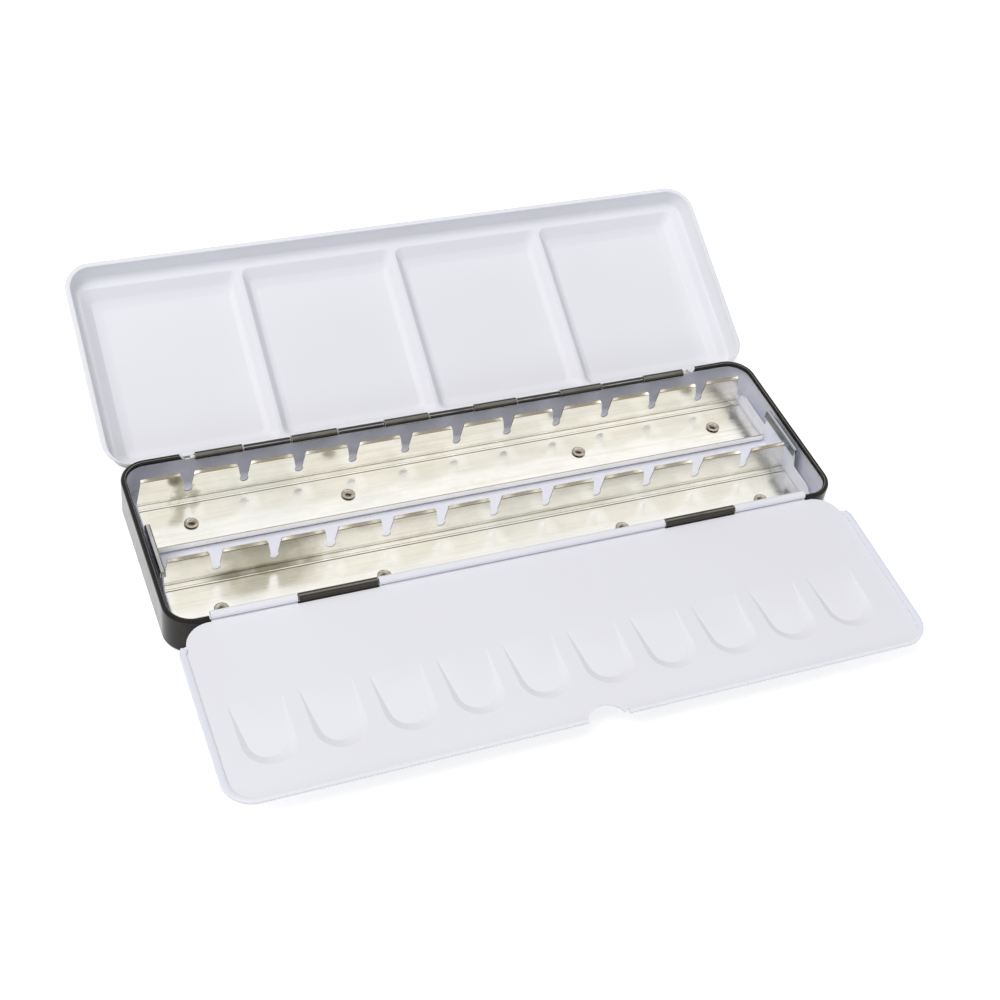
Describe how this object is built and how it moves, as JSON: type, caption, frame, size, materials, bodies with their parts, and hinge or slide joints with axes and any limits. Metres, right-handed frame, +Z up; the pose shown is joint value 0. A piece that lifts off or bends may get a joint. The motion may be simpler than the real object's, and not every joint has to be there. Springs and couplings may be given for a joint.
{
  "type": "watercolor box",
  "caption": "Shallow hinged metal paint box, open, with a lift-out tray of sprung pan rails, a lid with mixing wells and a fold-in palette flap with thumb wells",
  "frame": {"origin": "middle of the flat underside of the base tray, on the surface that the box stands on", "axes": "+X runs along the box to its right end, +Y goes back to the lid's hinge, +Z is up; the lid and the flap are modelled open"},
  "size_m": [0.2198, 0.1917, 0.0407],
  "materials": {
    "black_lacquer": "gloss black lacquer outside, white enamel inside",
    "white_enamel": "gloss white enamel on the working side, black lacquer on the back",
    "white_tray": "gloss white enamel",
    "tinplate": "bright bare tinplate",
    "grip_steel": "bright bare tinplate",
    "rivet_steel": "plain steel",
    "pin_steel": "plain steel wire"
  },
  "bodies": {
    "base": {"base_tray": "black_lacquer", "lid_hinge_pin": "pin_steel", "flap_hinge_pin": "pin_steel"},
    "lid": {"lid": "white_enamel"},
    "flap": {"mixing_flap": "white_enamel"},
    "insert": {"insert_tray": "white_tray", "rear_pan_rail": "tinplate", "front_pan_rail": "tinplate", "left_grip": "grip_steel", "right_grip": "grip_steel", "rail_rivet_rear_1": "rivet_steel", "rail_rivet_rear_2": "rivet_steel", "rail_rivet_rear_3": "rivet_steel", "rail_rivet_rear_4": "rivet_steel", "rail_rivet_front_1": "rivet_steel", "rail_rivet_front_2": "rivet_steel", "rail_rivet_front_3": "rivet_steel", "rail_rivet_front_4": "rivet_steel"}
  },
  "joints": [
    {"name": "lid_hinge", "type": "hinge", "parent": "base", "child": "lid", "pos_m": [0, 0.03225, 0.0125], "axis": [1, 0, 0], "range_deg": [0, 154.85]},
    {"name": "flap_hinge", "type": "hinge", "parent": "base", "child": "flap", "pos_m": [0, -0.03225, 0.0138], "axis": [-1, 0, 0], "range_deg": [0, 182.29]},
    {"name": "insert_lift", "type": "slide", "parent": "base", "child": "insert", "axis": [0, 0, 1], "range_m": [0, 0.06]}
  ]
}
